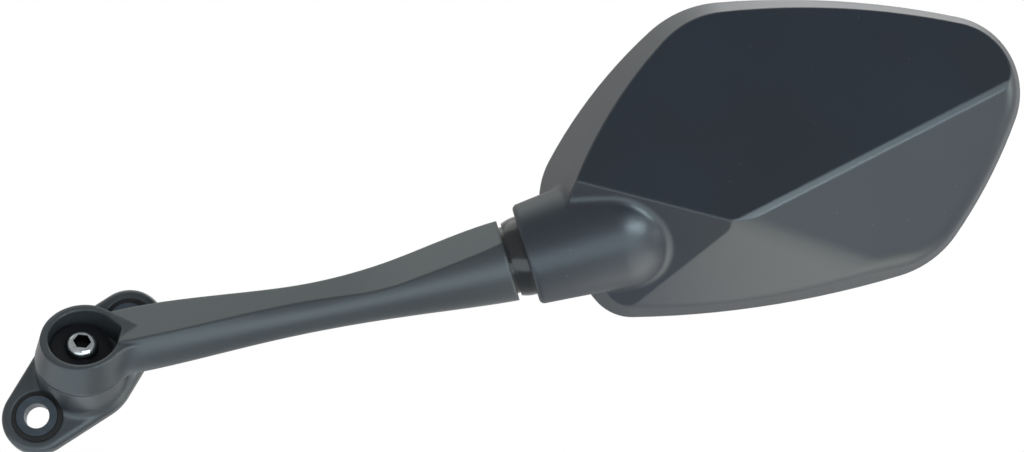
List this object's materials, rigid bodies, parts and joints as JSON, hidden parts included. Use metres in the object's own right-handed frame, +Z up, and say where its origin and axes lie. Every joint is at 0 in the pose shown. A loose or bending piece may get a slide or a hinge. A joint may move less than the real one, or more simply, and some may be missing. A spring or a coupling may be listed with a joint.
{
  "type": "motorcycle mirror",
  "caption": "Left-hand fairing mirror: faceted black head with a convex glass on a ball swivel, carried by a flared arm that folds on a bolted base.",
  "frame": {"origin": "centre of the mounting face, midway between the two bolt holes", "axes": "+X outboard along the arm, -Y forward towards the front of the motorcycle, +Z up; the glass looks along +Y"},
  "size_m": [0.3393, 0.044, 0.1528],
  "materials": {
    "cast_black": "matte",
    "shell_black": "satin",
    "ball_black": "gloss",
    "washer_black": "matte",
    "holder_black": "matte",
    "rubber": "matte",
    "zinc_steel": "satin",
    "spring_steel": "satin",
    "acetal": "satin",
    "foam": "matte",
    "mirror": "polished"
  },
  "bodies": {
    "base": {"base": "cast_black", "grommet_lower": "rubber", "grommet_upper": "rubber", "collar_lower": "zinc_steel", "collar_upper": "zinc_steel", "pivot_screw": "zinc_steel", "pivot_washer": "washer_black", "friction_washer": "acetal", "disc_springs": "spring_steel", "pivot_nut": "zinc_steel"},
    "arm": {"arm": "cast_black", "swivel_ball": "ball_black", "ball_stud": "spring_steel", "swivel_spring": "spring_steel", "swivel_washer": "zinc_steel", "swivel_nut": "zinc_steel"},
    "swivel_cup": {"pressure_cup": "spring_steel"},
    "swivel_liner": {"ball_liner": "acetal"},
    "head": {"head_shell": "shell_black", "glass_holder": "holder_black", "foam_pad": "foam", "mirror_glass": "mirror", "holder_screws": "zinc_steel"}
  },
  "joints": [
    {"name": "arm_fold", "type": "hinge", "parent": "base", "child": "arm", "pos_m": [0.00047, -0.01386, 0.00501], "axis": [0.1564, -0.7566, 0.6349], "range_deg": [-60, 30]},
    {"name": "head_roll", "type": "hinge", "parent": "arm", "child": "swivel_cup", "pos_m": [0.1469, -0.0164, 0.04], "axis": [0.9573, 0, 0.289], "range_deg": [-25, 25]},
    {"name": "head_swing", "type": "hinge", "parent": "swivel_cup", "child": "swivel_liner", "pos_m": [0.1469, -0.0164, 0.04], "axis": [0, 1, 0], "range_deg": [-8, 8]},
    {"name": "head_yaw", "type": "hinge", "parent": "swivel_liner", "child": "head", "pos_m": [0.1469, -0.0164, 0.04], "axis": [-0.289, 0, 0.9573], "range_deg": [-8, 8]}
  ]
}
